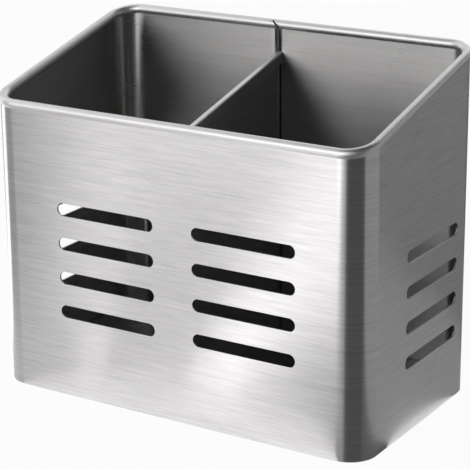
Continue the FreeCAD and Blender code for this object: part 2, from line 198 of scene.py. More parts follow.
def blend(graph: Graph, factor: Value, first: Colour, second: Colour) -> Value:
    """Blend two colours.

    Args:
        graph: Graph to add to.
        factor: Share of the second colour.
        first: Colour where the factor is 0.
        second: Colour where the factor is 1.

    Returns:
        The blended colour.
    """
    inputs = {"Factor": factor, MIX_FIRST: first, MIX_SECOND: second}
    return graph.node("ShaderNodeMix", {"data_type": "RGBA"}, inputs, output=MIX_RESULT)


class Grain(Enum):
    """Way the brush went over a sheet, as how fast its lines change along X, Y and Z, per metre."""

    LEVEL = (36.0, 36.0, 1000.0)
    LENGTHWISE = (36.0, 1000.0, 1000.0)


class Tangent(Enum):
    """Turn of the stretched highlight, in parts of a full turn from the level direction round Z."""

    UPRIGHT = 0.25


@dataclass(frozen=True)
class BrushedSteel:
    """Stainless sheet with fine brush lines, a highlight stretched across them and faint smudges.

    Scales count changes per metre, fine lines are counted per broad line, and layers are those of noise.
    """

    name: str
    grain: Grain
    light: Colour = (0.97, 0.955, 0.95, 1)
    dark: Colour = (0.47, 0.46, 0.46, 1)
    roughness: float = 0.285
    roughness_swing: float = 0.04
    smudge_swing: float = 0.05
    stretch: float = 0.95
    broad_layers: float = 4.0
    fine_lines: float = 2.6
    fine_layers: float = 3.0
    fine_share: float = 0.5
    smudge_scale: float = 38.0
    smudge_layers: float = 3.0
    wave_scale: float = 11.0
    wave_layers: float = 1.0
    line_depth: float = 0.0012 * MM
    wave_depth: float = 0.25 * MM

    def material(self) -> Material:
        """Build the finish.

        Returns:
            The finished material.
        """
        material, graph = new_material(self.name)
        place = graph.node("ShaderNodeTexCoord", output="Object")
        lines = graph.node("ShaderNodeMapping", None, {"Vector": place, "Scale": self.grain.value})
        broad = noise(graph, lines, 1.0, self.broad_layers)
        fine = noise(graph, lines, self.fine_lines, self.fine_layers)
        brush = (1 - self.fine_share) * broad + self.fine_share * fine
        smudge = noise(graph, place, self.smudge_scale, self.smudge_layers)
        wave = noise(graph, place, self.wave_scale, self.wave_layers)
        roughness = (self.roughness + self.roughness_swing * (brush - NOISE_MEAN)
                     + self.smudge_swing * (smudge - NOISE_MEAN))
        swell = graph.node("ShaderNodeBump", None,
                           {"Strength": 1.0, "Distance": self.wave_depth, "Height": wave})
        scratch = {"Strength": 1.0, "Distance": self.line_depth, "Height": brush, "Normal": swell}
        normal = graph.node("ShaderNodeBump", None, scratch)
        steel = graph.node("ShaderNodeBsdfPrincipled", None, {
            "Base Color": blend(graph, brush, self.dark, self.light),
            "Metallic": 1.0,
            "Roughness": roughness,
            "Anisotropic": self.stretch,
            "Anisotropic Rotation": Tangent.UPRIGHT.value,
            "Normal": normal,
        })
        graph.node("ShaderNodeOutputMaterial", None, {"Surface": steel})
        return material


@dataclass(frozen=True)
class MottledSteel:
    """Bare steel without brush lines, whose tone and roughness change from patch to patch."""

    name: str
    first: Colour
    second: Colour
    roughness: float
    patch_scale: float
    patch_layers: float
    roughness_swing: float = 0.2

    def material(self) -> Material:
        """Build the finish.

        Returns:
            The finished material.
        """
        material, graph = new_material(self.name)
        place = graph.node("ShaderNodeTexCoord", output="Object")
        patch = noise(graph, place, self.patch_scale, self.patch_layers)
        steel = graph.node("ShaderNodeBsdfPrincipled", None, {
            "Base Color": blend(graph, patch, self.first, self.second),
            "Metallic": 1.0,
            "Roughness": self.roughness + self.roughness_swing * (patch - NOISE_MEAN),
        })
        graph.node("ShaderNodeOutputMaterial", None, {"Surface": steel})
        return material


# Sheet: its outside; its inside and the floor, darker copies of the same brushed steel that paint the
# shade inside the basket; and rolled edges, which are duller and stretch no highlight
OUTER_STEEL = BrushedSteel("brushed_steel", Grain.LEVEL)
# Painted shade: the outside's brushed steel made darker for the faces inside the basket
SHADED_INNER_STEEL = BrushedSteel("shaded_inner_steel", Grain.LEVEL,
                           light=(0.62, 0.61, 0.605, 1), dark=(0.40, 0.395, 0.39, 1))
# Painted shade: the darkened inside steel again, its brush lines running lengthwise, for the floor pan
SHADED_FLOOR_STEEL = replace(SHADED_INNER_STEEL, name="shaded_floor_steel", grain=Grain.LENGTHWISE)
ROLLED_STEEL = BrushedSteel("rolled_steel", Grain.LEVEL, roughness=0.45, stretch=0.0,
                            light=(0.92, 0.905, 0.90, 1), dark=(0.70, 0.69, 0.69, 1))
# Cut edges, dulled by the shears in short stretches
SHEARED_EDGE = MottledSteel("sheared_edge", first=(0.36, 0.35, 0.35, 1), second=(0.56, 0.55, 0.55, 1),
                            roughness=0.36, patch_scale=900.0, patch_layers=2.0)
# Spot welds with a straw and blue heat tint
WELD_STEEL = MottledSteel("weld_steel", first=(0.52, 0.44, 0.32, 1), second=(0.30, 0.33, 0.42, 1),
                          roughness=0.5, patch_scale=420.0, patch_layers=3.0)


def light_path(graph: Graph) -> Value:
    """Rays that see the background as it is.

    Args:
        graph: Graph to add to.

    Returns:
        1 for camera, glossy and transmission rays, otherwise 0.
    """
    seen = graph.node("ShaderNodeLightPath", output="Is Camera Ray")
    for kind in ("Is Glossy Ray", "Is Transmission Ray"):
        seen = seen.larger(graph.node("ShaderNodeLightPath", output=kind))
    return seen


def new_object(name: str, mesh: Mesh, smooth: bool = False) -> bpy.types.Object:
    """Make an object of a finished bmesh.

    Args:
        name: Name of the object and its mesh.
        mesh: The bmesh, which is freed.
        smooth: Whether its faces are shaded smooth.

    Returns:
        The object, linked to the scene at the origin.
    """
    data = bpy.data.meshes.new(name)
    mesh.to_mesh(data)
    mesh.free()
    data.polygons.foreach_set("use_smooth", [smooth] * len(data.polygons))
    made = bpy.data.objects.new(name, data)
    bpy.context.scene.collection.objects.link(made)
    return made


def lowest(item: Union[Edge, Face]) -> float:
    """Height of the lowest corner of an edge or a face."""
    return min(vert.co.z for vert in item.verts)


def lies_on(item: Union[Edge, Face], point: Vector, normal: Vector) -> bool:
    """Whether an edge or a face lies on the plane through a point with a normal."""
    return all(abs((vert.co - point).dot(normal)) < ON_PLANE for vert in item.verts)


def carry(mesh: Mesh, edges: list[Edge], step: Vector) -> list[Edge]:
    """Carry a line of edges straight on, leaving sheet behind it.

    Args:
        mesh: The sheet.
        edges: Line of edges at the sheet's end.
        step: How far and which way.

    Returns:
        The line's new edges.
    """
    made = bmesh.ops.extrude_edge_only(mesh, edges=edges)["geom"]
    verts = {item for item in made if isinstance(item, Vert)}
    bmesh.ops.translate(mesh, verts=list(verts), vec=step)
    return [item for item in made if isinstance(item, Edge) and verts.issuperset(item.verts)]


def swing(mesh: Mesh, edges: list[Edge], centre: Vector, degrees: float, steps: int) -> list[Edge]:
    """Swing a line of edges round an upright axis, leaving bent sheet behind it.

    Args:
        mesh: The sheet.
        edges: Line of edges at the sheet's end.
        centre: Point on the axis.
        degrees: Angle, positive from +X towards +Y.
        steps: Number of facets.

    Returns:
        The line's new edges.
    """
    verts = {vert for edge in edges for vert in edge.verts}
    made = bmesh.ops.spin(mesh, geom=[*verts, *edges], cent=centre, axis=AXIS_Z, dvec=(0, 0, 0),
                          angle=math.radians(degrees), steps=steps, use_merge=False)
    return [item for item in made["geom_last"] if isinstance(item, Edge)]


def draw_on(mesh: Mesh, tip: Vert, step: Vector) -> Vert:
    """Draw a profile's next straight stretch.

    Args:
        mesh: The sheet.
        tip: The profile's end.
        step: How far and which way.

    Returns:
        The profile's new end.
    """
    verts = bmesh.ops.extrude_vert_indiv(mesh, verts=[tip])["verts"]
    bmesh.ops.translate(mesh, verts=verts, vec=step)
    return verts[0]


def curl_on(mesh: Mesh, tip: Vert, centre: Vector, axis: Vector, degrees: float, steps: int) -> Vert:
    """Draw a profile's next round stretch.

    Args:
        mesh: The sheet.
        tip: The profile's end.
        centre: Middle of the arc.
        axis: Axis that the end turns about.
        degrees: Angle of the arc.
        steps: Number of facets.

    Returns:
        The profile's new end.
    """
    made = bmesh.ops.spin(mesh, geom=[tip], cent=centre, axis=axis, dvec=(0, 0, 0),
                          angle=math.radians(degrees), steps=steps, use_merge=False)
    return next(item for item in made["geom_last"] if isinstance(item, Vert))


def split_faces(mesh: Mesh, faces: Iterable[Face], point: Vector,
                normal: Vector) -> tuple[list[Face], list[Face]]:
    """Split faces along a plane.

    Args:
        mesh: The sheet.
        faces: Faces to split.
        point: Point on the plane.
        normal: The plane's normal.

    Returns:
        The faces behind the plane and those in front of it.
    """
    faces = list(faces)
    parts = {item for face in faces for item in (*face.verts, *face.edges)}
    cut = bmesh.ops.bisect_plane(mesh, geom=[*parts, *faces], plane_co=point, plane_no=normal)["geom"]
    found = {item for item in (*cut, *faces) if isinstance(item, Face) and item.is_valid}
    behind = [face for face in found if (face.calc_center_median() - point).dot(normal) < 0]
    return behind, [face for face in found if face not in behind]


def hole_loop(mesh: Mesh, place: Matrix, length: float, width: float, segments: int = 28) -> list[Edge]:
    """Draw the edge of a slot with round ends, or of a round hole where length and width are the same.

    Args:
        mesh: The sheet.
        place: Where the slot's middle is, its own X running along it and its Z across the sheet.
        length: Length over the round ends.
        width: Width, which is also the diameter of the ends.
        segments: Number of edges round the two ends.

    Returns:
        The loop's edges.
    """
    half_step = Matrix.Rotation(math.pi / segments, 4, "Z")
    verts = bmesh.ops.create_circle(mesh, cap_ends=False, segments=segments, radius=width / 2,
                                    matrix=half_step)["verts"]
    for side in (-1, 1):
        end = [vert for vert in verts if vert.co.x * side > 0]
        bmesh.ops.translate(mesh, verts=end, vec=AXIS_X * side * (length - width) / 2)
    bmesh.ops.transform(mesh, matrix=place, verts=verts)
    return list({edge for vert in verts for edge in vert.link_edges})


def punch(mesh: Mesh, faces: Iterable[Face], loops: Iterable[list[Edge]]) -> None:
    """Make a flat stretch of sheet anew with holes in it.

    Args:
        mesh: The sheet.
        faces: The flat faces, which are replaced.
        loops: Edges of the holes.
    """
    faces = list(faces)
    faces[0].normal_update()
    normal = faces[0].normal.copy()
    inside = [edge for face in faces for edge in face.edges
              if len(edge.link_faces) > 1 and all(side in faces for side in edge.link_faces)]
    outline = {edge for face in faces for edge in face.edges if edge not in inside}
    bmesh.ops.delete(mesh, geom=faces, context="FACES_ONLY")
    bmesh.ops.delete(mesh, geom=list(set(inside)), context="EDGES")
    edges = [*outline, *(edge for loop in loops for edge in loop)]
    bmesh.ops.triangle_fill(mesh, use_beauty=True, use_dissolve=False, edges=edges, normal=normal)


@dataclass(frozen=True)
class SheetPart:
    """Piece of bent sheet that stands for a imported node; its mesh is the sheet's outer skin."""

    node: str
    steel: Material
    edge_steel: Material
    rolled_steel: Material
    # Finish of the inner faces, a darkened steel that paints the shade inside the basket
    shaded_inner_steel: Material
    gauge: float = 0.8 * MM
    edge_round: float = 0.12 * MM
    edge_steps: int = 2
    edge_degrees: float = 50.0

    @cached_property
    def low(self) -> Vector:
        """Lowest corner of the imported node."""
        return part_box(self.node)[0]

    @cached_property
    def high(self) -> Vector:
        """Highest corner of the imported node."""
        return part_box(self.node)[1]

    def skin(self) -> Mesh:
        """Model the sheet's outer skin."""
        raise NotImplementedError

    @staticmethod
    def mark_rolled(faces: Iterable[Face]) -> None:
        """Give faces of a rolled or folded edge the finish of rolled steel."""
        for face in faces:
            face.material_index = ROLLED_SLOT

    def build(self) -> bpy.types.Object:
        """Model the piece, thicken it, round its edges and dress it.

        Returns:
            The finished piece.
        """
        mesh = self.skin()
        bmesh.ops.remove_doubles(mesh, verts=mesh.verts, dist=SAME_POINT)
        bmesh.ops.recalc_face_normals(mesh, faces=mesh.faces)
        made = new_object(f"{self.node}_sheet", mesh, smooth=True)
        wall = made.modifiers.new("gauge", "SOLIDIFY")
        wall.thickness = self.gauge
        wall.offset = -1
        wall.use_even_offset = True
        wall.material_offset = INNER_OFFSET
        wall.material_offset_rim = EDGE_OFFSET
        rounding = made.modifiers.new("edges", "BEVEL")
        rounding.width = self.edge_round
        rounding.segments = self.edge_steps
        rounding.limit_method = "ANGLE"
        rounding.angle_limit = math.radians(self.edge_degrees)
        rounding.use_clamp_overlap = False
        made.modifiers.new("even_normals", "WEIGHTED_NORMAL").keep_sharp = True
        outer = (self.steel, self.edge_steel, self.rolled_steel, self.edge_steel)
        for material in (*outer, self.shaded_inner_steel, self.shaded_inner_steel, self.shaded_inner_steel):
            made.data.materials.append(material)
        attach(made, BODY)
        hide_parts(self.node)
        LOG.info("%s: %d faces", made.name, len(made.data.polygons))
        return made


@dataclass(frozen=True)
class WallWrap(SheetPart):
    """Sheet bent round four corners, with its rolled rim, its drain slots and its seam at the back."""

    front_height: float = 121.2 * MM
    corner_radius: float = 11.5 * MM
    corner_steps: int = 20
    bead_radius: float = 1.95 * MM
    bead_proud: float = 0.6 * MM
    bead_neck: float = 0.45 * MM
    neck_steps: int = 6
    bead_end: float = 240.0
    bead_steps: int = 36
    slot_height: float = 5.3 * MM
    slot_pitch: float = 14.35 * MM
    slot_rows: int = 4
    front_slot_length: float = 45.6 * MM
    front_slot_spacing: float = 63.4 * MM
    front_slot_shift: float = 1.8 * MM
    front_slot_low: float = 36.3 * MM
    side_slot_length: float = 43.7 * MM
    left_slot_shift: float = -4.4 * MM
    left_slot_low: float = 33.4 * MM
    right_slot_shift: float = 9.5 * MM
    right_slot_low: float = 29.0 * MM
    seam_x: float = -5.6 * MM
    seam_half_gap: float = 0.55 * MM
    left_bend: float = 2.6 * MM
    right_bend: float = 1.0 * MM
    seam_steps: int = 8
    rib_depth: float = 6.0 * MM
    rib_corner: float = 45.0
    lap_reach: float = 1.8 * MM
    lap_gap: float = 0.15 * MM
    right_lap_degrees: float = 50.0
    left_lap_degrees: float = 34.0

    @cached_property
    def half_width(self) -> float:
        """Half of the width over the walls."""
        return self.high.x - self.bead_proud

    @cached_property
    def half_depth(self) -> float:
        """Half of the depth over the walls."""
        return (self.high.y - self.rib_depth - self.low.y - self.bead_proud) / 2

    @cached_property
    def middle(self) -> Vector:
        """Middle of the box of walls on the floor."""
        return AXIS_Y * (self.low.y + self.bead_proud + self.half_depth)

    @cached_property
    def bead_inset(self) -> float:
        """How far the rolled rim's middle line lies inside the wall's outer face."""
        return self.bead_radius - self.bead_proud

    @cached_property
    def slope(self) -> float:
        """Rise of the rim for each unit of depth."""
        return (self.high.z - self.front_height) / (2 * (self.half_depth - self.bead_inset))

    @cached_property
    def rim_height(self) -> float:
        """Height of the rim's middle line halfway between front and back."""
        return (self.high.z + self.front_height) / 2 - self.bead_radius

    @cached_property
    def neck_drop(self) -> float:
        """How far below the rim's middle line the wall starts to turn out into the rim."""
        reach = self.bead_radius + self.bead_neck
        return math.sqrt(reach ** 2 - (self.bead_inset + self.bead_neck) ** 2)

    def skin(self) -> Mesh:
        """Model the sheet's outer skin.

        Returns:
            The skin.
        """
        mesh = bmesh.new()
        across = self.half_width - self.corner_radius
        along = self.half_depth - self.corner_radius
        first_start = self.seam_x - self.lap_reach
        last_end = self.seam_x + self.bead_radius
        line = carry(mesh, self._profile(mesh, first_start), AXIS_X * (across - first_start))
        self._trim_end(mesh, set(), 1)
        runs = [-AXIS_Y * 2 * along, -AXIS_X * 2 * across, AXIS_Y * 2 * along]
        corners = [(1, 1), (1, -1), (-1, -1), (-1, 1)]
        for side, (side_x, side_y) in enumerate(corners):
            centre = Vector((side_x * across, side_y * along, 0))
            line = swing(mesh, line, centre, -90, self.corner_steps)
            if side < len(runs):
                line = carry(mesh, line, runs[side])
        before = set(mesh.faces)
        carry(mesh, line, AXIS_X * (across + last_end))
        self._trim_end(mesh, before, -1)
        neck_start = self.rim_height - self.neck_drop
        self.mark_rolled(face for face in mesh.faces if lowest(face) > neck_start - ON_PLANE)
        self._climb(mesh)
        self._slots(mesh)
        bmesh.ops.translate(mesh, verts=mesh.verts, vec=self.middle)
        return mesh

    def _profile(self, mesh: Mesh, x: float) -> list[Edge]:
        """Draw the sheet's section at the back wall: up the wall, out through a neck and round the rim.

        Args:
            mesh: The sheet.
            x: Where the section stands.

        Returns:
            The section's edges.
        """
        tip = mesh.verts.new((x, self.half_depth, 0))
        neck_start = self.rim_height - self.neck_drop
        tip = draw_on(mesh, tip, AXIS_Z * neck_start)
        neck = Vector((x, self.half_depth + self.bead_neck, neck_start))
        turn = math.degrees(math.atan2(self.neck_drop, self.bead_inset + self.bead_neck))
        tip = curl_on(mesh, tip, neck, AXIS_X, -turn, self.neck_steps)
        bead = Vector((x, self.half_depth - self.bead_inset, self.rim_height))
        curl_on(mesh, tip, bead, AXIS_X, self.bead_end + turn, self.bead_steps)
        return list(mesh.edges)

    @staticmethod
    def _is_wall(item: Union[Edge, Face]) -> bool:
        """Whether an edge or a face reaches down to the wall's foot."""
        return lowest(item) < MM

    def _flange(self, mesh: Mesh, x: float, side: int, radius: float) -> None:
        """Bend one end of the wall outwards beside the seam.

        Args:
            mesh: The sheet.
            x: Where the bend starts.
            side: 1 for the end right of the seam and -1 for the left one.
            radius: Radius of the bend on the sheet's inner face.
        """
        end = [edge for edge in mesh.edges if len(edge.link_faces) == 1
               and lies_on(edge, AXIS_X * x, AXIS_X) and self._is_wall(edge)]
        before = set(mesh.faces)
        centre = Vector((x, self.half_depth - self.gauge + radius, 0))
        end = swing(mesh, end, centre, -90 * side, self.seam_steps)
        carry(mesh, end, AXIS_Y * (self.rib_depth + self.gauge - radius))
        lean = math.radians(self.rib_corner)
        slant = Vector((0, math.sin(lean), math.cos(lean)))
        top = centre + AXIS_Z * (self.rim_height - self.neck_drop)
        above = split_faces(mesh, set(mesh.faces) - before, top, slant)[1]
        bmesh.ops.delete(mesh, geom=above, context="FACES")

    def _trim_end(self, mesh: Mesh, before: set[Face], side: int) -> None:
        """Trim one end: the wall turns out at the seam, and the rim is cut off where the ends overlap.

        Args:
            mesh: The sheet.
            before: Faces of its other runs.
            side: 1 for the end right of the seam and -1 for the left one.
        """
        if side > 0:
            radius, degrees, gap = self.right_bend, self.right_lap_degrees, 0
        else:
            radius, degrees, gap = self.left_bend, self.left_lap_degrees, self.lap_gap
        bend = self.seam_x + side * (self.seam_half_gap + radius)
        run = [face for face in mesh.faces if face not in before]
        beyond = split_faces(mesh, run, AXIS_X * bend, AXIS_X * side)[0]
        bmesh.ops.delete(mesh, geom=[face for face in beyond if self._is_wall(face)], context="FACES")
        lean = math.radians(degrees)
        slant = side * Vector((math.cos(lean), 0, math.sin(lean)))
        top = Vector((self.seam_x - self.lap_reach - gap, 0, self.rim_height + self.bead_radius))
        rim = [face for face in mesh.faces if face not in before and not self._is_wall(face)]
        bmesh.ops.delete(mesh, geom=split_faces(mesh, rim, top, slant)[0], context="FACES")
        self._flange(mesh, bend, side, radius)

    def _climb(self, mesh: Mesh) -> None:
        """Raise the sheet's top so that the rim climbs from front to back.

        Args:
            mesh: The sheet.
        """
        across = self.half_width - self.corner_radius
        along = self.half_depth - self.corner_radius
        radius = self.corner_radius - self.bead_inset
        for vert in mesh.verts:
            if vert.co.z < MM:
                continue
            flat = Vector((max(-across, min(across, vert.co.x)), max(-along, min(along, vert.co.y))))
            outward = (vert.co.xy - flat).normalized()
            vert.co.z += self.slope * (flat.y + outward.y * radius)

    def _slots(self, mesh: Mesh) -> None:
        """Punch the drain slots into the front and the two sides.

        Args:
            mesh: The sheet.
        """
        upright = Matrix.Rotation(math.pi / 2, 4, "X")
        side_turn = Matrix.Rotation(math.pi / 2, 4, "Z") @ upright
        front_places = [self.front_slot_shift + side * self.front_slot_spacing / 2 for side in (-1, 1)]
        front = [Matrix.Translation((x, -self.half_depth, self.front_slot_low)) @ upright
                 for x in front_places]
        self._punch_rows(mesh, -AXIS_Y * self.half_depth, front, self.front_slot_length)
        left = Vector((-self.half_width, self.left_slot_shift, self.left_slot_low))
        right = Vector((self.half_width, self.right_slot_shift, self.right_slot_low))
        for middle in (left, right):
            place = Matrix.Translation(middle) @ side_turn
            self._punch_rows(mesh, AXIS_X * middle.x, [place], self.side_slot_length)

    def _punch_rows(self, mesh: Mesh, wall: Vector, places: list[Matrix], length: float) -> None:
        """Punch rows of slots into one wall.

        Args:
            mesh: The sheet.
            wall: Point of the wall's outer face nearest to the middle.
            places: Places of the lowest slots.
            length: Length of each slot.
        """
        outward = wall.normalized()
        faces = [face for face in mesh.faces if lies_on(face, wall, outward)]
        rises = [Matrix.Translation(AXIS_Z * row * self.slot_pitch) for row in range(self.slot_rows)]
        loops = [hole_loop(mesh, rise @ place, length, self.slot_height)
                 for place in places for rise in rises]
        punch(mesh, faces, loops)


@dataclass(frozen=True)
class Divider(SheetPart):
    """Sheet that parts the basket, with a folded top, a flange at the front and a tail in the seam."""

    wall: Optional[WallWrap] = None
    drop: float = 13.4 * MM
    hem_gap: float = 0.6 * MM
    hem_flap: float = 4.0 * MM
    hem_bulge: float = 0.5 * MM
    hem_corner: float = 0.8 * MM
    hem_steps: int = 8
    flange_length: float = 9.0 * MM
    flange_drop: float = 8.0 * MM
    bend_radius: float = 1.6 * MM
    bend_steps: int = 8
    weld_gap: float = 0.15 * MM

    def skin(self) -> Mesh:
        """Model the sheet's outer skin, which is its left face.

        Returns:
            The skin.
        """
        mesh = bmesh.new()
        wall = self.wall
        clearance = wall.gauge + self.weld_gap
        front = -wall.half_depth + clearance + self.bend_radius
        back = wall.half_depth - clearance
        top = wall.rim_height + wall.bead_radius - self.drop
        fold = self.hem_gap / 2 + self.gauge
        left = self.low.x
        foot = mesh.verts.new((left, front, self.low.z))
        corner = self.hem_corner
        flat = 2 * fold + self.hem_bulge - 2 * corner
        tip = draw_on(mesh, foot, AXIS_Z * (top - 2 * corner - self.low.z))
        tip = draw_on(mesh, tip, Vector((-self.hem_bulge, 0, corner)))
        tip = curl_on(mesh, tip, tip.co + AXIS_X * corner, AXIS_Y, 90, self.hem_steps)
        tip = draw_on(mesh, tip, AXIS_X * flat)
        tip = curl_on(mesh, tip, tip.co - AXIS_Z * corner, AXIS_Y, 90, self.hem_steps)
        draw_on(mesh, tip, -AXIS_Z * self.hem_flap)
        line = carry(mesh, list(mesh.edges), AXIS_Y * (back - front))
        self.mark_rolled(face for face in mesh.faces if lowest(face) > top - fold - ON_PLANE)
        plate = [edge for edge in line if lowest(edge) < self.low.z + MM]
        tail_end = self.high.y - wall.middle.y
        carry(mesh, plate, AXIS_Y * (tail_end - back))
        for vert in mesh.verts:
            if vert.co.z > self.low.z + MM:
                vert.co.z += wall.slope * vert.co.y
        flange_top = AXIS_Z * (top + wall.slope * front - self.flange_drop)
        sheet = [face for face in mesh.faces if lowest(face) < self.low.z + MM]
        split_faces(mesh, sheet, flange_top, AXIS_Z)
        line = [edge for edge in mesh.edges if lies_on(edge, AXIS_Y * front, AXIS_Y)
                and max(vert.co.z for vert in edge.verts) < flange_top.z + ON_PLANE]
        line = swing(mesh, line, Vector((left + self.bend_radius, front, 0)), 90, self.bend_steps)
        carry(mesh, line, AXIS_X * self.flange_length)
        bmesh.ops.translate(mesh, verts=mesh.verts, vec=wall.middle)
        return mesh


@dataclass(frozen=True)
class FloorPan(SheetPart):
    """Raised floor with rounded corners, a turned-down skirt and round drain holes."""

    wall: Optional[WallWrap] = None
    corner_radius: float = 10.55 * MM
    corner_steps: int = 14
    bend_radius: float = 1.6 * MM
    bend_steps: int = 6
    hole_diameter: float = 6.4 * MM
    hole_pitch: float = 18.0 * MM
    hole_row_pitch: float = 20.0 * MM
    holes_each_way: int = 3

    def skin(self) -> Mesh:
        """Model the sheet's outer skin, which is its upper face and the skirt's outside.

        Returns:
            The skin.
        """
        mesh = bmesh.new()
        size = self.high - self.low
        place = Matrix.Translation((self.high + self.low) / 2) @ Matrix.Diagonal((*size, 1))
        bmesh.ops.create_cube(mesh, size=1, matrix=place)
        foot = [face for face in mesh.faces if lies_on(face, self.low, AXIS_Z)]
        bmesh.ops.delete(mesh, geom=foot, context="FACES")
        upright = [edge for edge in mesh.edges if abs(edge.verts[0].co.z - edge.verts[1].co.z) > MM]
        self._round(mesh, upright, self.corner_radius, self.corner_steps)
        brim = [edge for edge in mesh.edges if lies_on(edge, self.high, AXIS_Z)]
        self._round(mesh, brim, self.bend_radius, self.bend_steps)
        top = [face for face in mesh.faces if lies_on(face, self.high, AXIS_Z)]
        punch(mesh, top, self._holes(mesh))
        return mesh

    @staticmethod
    def _round(mesh: Mesh, edges: list[Edge], radius: float, steps: int) -> None:
        """Round edges off.

        Args:
            mesh: The sheet.
            edges: Edges to round.
            radius: Radius of the rounding.
            steps: Number of facets.
        """
        bmesh.ops.bevel(mesh, geom=edges, offset=radius, offset_type="OFFSET", affect="EDGES",
                        segments=steps, profile=0.5, material=-1, clamp_overlap=False)

    def _holes(self, mesh: Mesh) -> list[list[Edge]]:
        """Draw the edges of the drain holes in both compartments.

        Args:
            mesh: The sheet.

        Returns:
            One loop of edges for each hole.
        """
        steps = [index - (self.holes_each_way - 1) / 2 for index in range(self.holes_each_way)]
        inner = self.wall.half_width - self.gauge
        loops = []
        for side in (-1, 1):
            middle = (side * inner + self.wall.seam_x + side * self.gauge / 2) / 2
            for column in steps:
                for row in steps:
                    x = middle + column * self.hole_pitch
                    y = self.wall.middle.y + row * self.hole_row_pitch
                    place = Matrix.Translation((x, y, self.high.z))
                    loops.append(hole_loop(mesh, place, self.hole_diameter, self.hole_diameter))
        return loops


@dataclass(frozen=True)
class Card:
    """Curved card laid or stood round the basket; the steel mirrors it and the camera doesn't see it.

    Angles are in degrees round the basket, 0 in front of it and positive towards its right. The foot and
    the head are each a distance from the middle of the basket and a height.
    """

    name: str
    start: float
    stop: float
    level: float
    foot: tuple[float, float]
    head: tuple[float, float]
    steps: int = 24

    def build(self) -> bpy.types.Object:
        """Set the card up.

        Returns:
            The card.
        """
        mesh = bmesh.new()
        ends = [mesh.verts.new((0, -distance, height)) for distance, height in (self.foot, self.head)]
        edge = mesh.edges.new(ends)
        bmesh.ops.rotate(mesh, verts=ends, cent=(0, 0, 0),
                         matrix=Matrix.Rotation(math.radians(self.start), 3, "Z"))
        swing(mesh, [edge], Vector(), self.stop - self.start, self.steps)
        return hang_card(self.name, mesh, self.level)


def hang_card(name: str, mesh: Mesh, level: float) -> bpy.types.Object:
    """Make a card that only mirror-like surfaces see.

    Args:
        name: Name of the card.
        mesh: Its bmesh, which is freed.
        level: How bright it is, 1 being white.

    Returns:
        The card, hidden from the camera, from diffuse rays and from shadows.
    """
    card = new_object(name, mesh)
    material, graph = new_material(name)
    glow = graph.node("ShaderNodeEmission", None, {"Color": WHITE, "Strength": level})
    graph.node("ShaderNodeOutputMaterial", None, {"Surface": glow})
    material.cycles.emission_sampling = "NONE"
    card.data.materials.append(material)
    card.visible_camera = False
    card.visible_diffuse = False
    card.visible_shadow = False
    return card


@dataclass(frozen=True)
class Softbox:
    """Oblong lamp that faces the basket."""

    name: str
    place: Point
    width: float
    height: float
    power: float
    aim: Point = (0, 0, 0.07)

    def build(self) -> bpy.types.Object:
        """Hang the lamp.

        Returns:
            The lamp.
        """
        light = bpy.data.lights.new(self.name, "AREA")
        light.shape = "RECTANGLE"
        light.size = self.width
        light.size_y = self.height
        light.energy = self.power
        lamp = bpy.data.objects.new(self.name, light)
        lamp.location = self.place
        lamp.rotation_euler = (Vector(self.aim) - lamp.location).to_track_quat("-Z", "Y").to_euler()
        bpy.context.scene.collection.objects.link(lamp)
        return lamp


@dataclass(frozen=True)
class Viewpoint:
    """Camera of the photograph, 470 pixels square, found from measured points on the basket."""

    place: Point = (0.37451, -0.59639, 0.29254)
    round_degrees: float = 32.184
    down_degrees: float = 18.046
    roll_degrees: float = -0.577
    focal_pixels: float = 1821.23
    image_pixels: float = 470.0
    sensor: float = 36.0
    nearest: float = 10.0 * MM

    def build(self) -> bpy.types.Object:
        """Set up the scene's camera.

        Returns:
            The camera.
        """
        turn = math.radians(self.round_degrees)
        tilt = math.radians(self.down_degrees)
        roll = math.radians(self.roll_degrees)
        ahead = Vector((-math.sin(turn), math.cos(turn), 0))
        forward = math.cos(tilt) * ahead - math.sin(tilt) * AXIS_Z
        level = forward.cross(AXIS_Z).normalized()
        above = level.cross(forward)
        right = math.cos(roll) * level + math.sin(roll) * above
        up = math.cos(roll) * above - math.sin(roll) * level
        lens = bpy.data.cameras.new("camera")
        lens.sensor_width = self.sensor
        lens.lens = self.focal_pixels / self.image_pixels * self.sensor
        lens.clip_start = self.nearest
        camera = bpy.data.objects.new("camera", lens)
        turned = Matrix((right, up, -forward)).transposed().to_4x4()
        camera.matrix_world = Matrix.Translation(self.place) @ turned
        bpy.context.scene.collection.objects.link(camera)
        bpy.context.scene.camera = camera
        return camera


# Edges of the cards, which lie on the floor, stand at the back or hang overhead, as distance and height
NEAR_EDGE = (0.09, 0.2 * MM)
MIDDLE_EDGE = (0.2, 0.2 * MM)
FAR_EDGE = (1.3, 0.2 * MM)
BACK_FOOT = (1.3, 0.0)
BACK_HEAD = (1.3, 0.95)
ZENITH_EDGE = (0.42, 0.95)
UPPER_TIP = (0.001, 0.95)


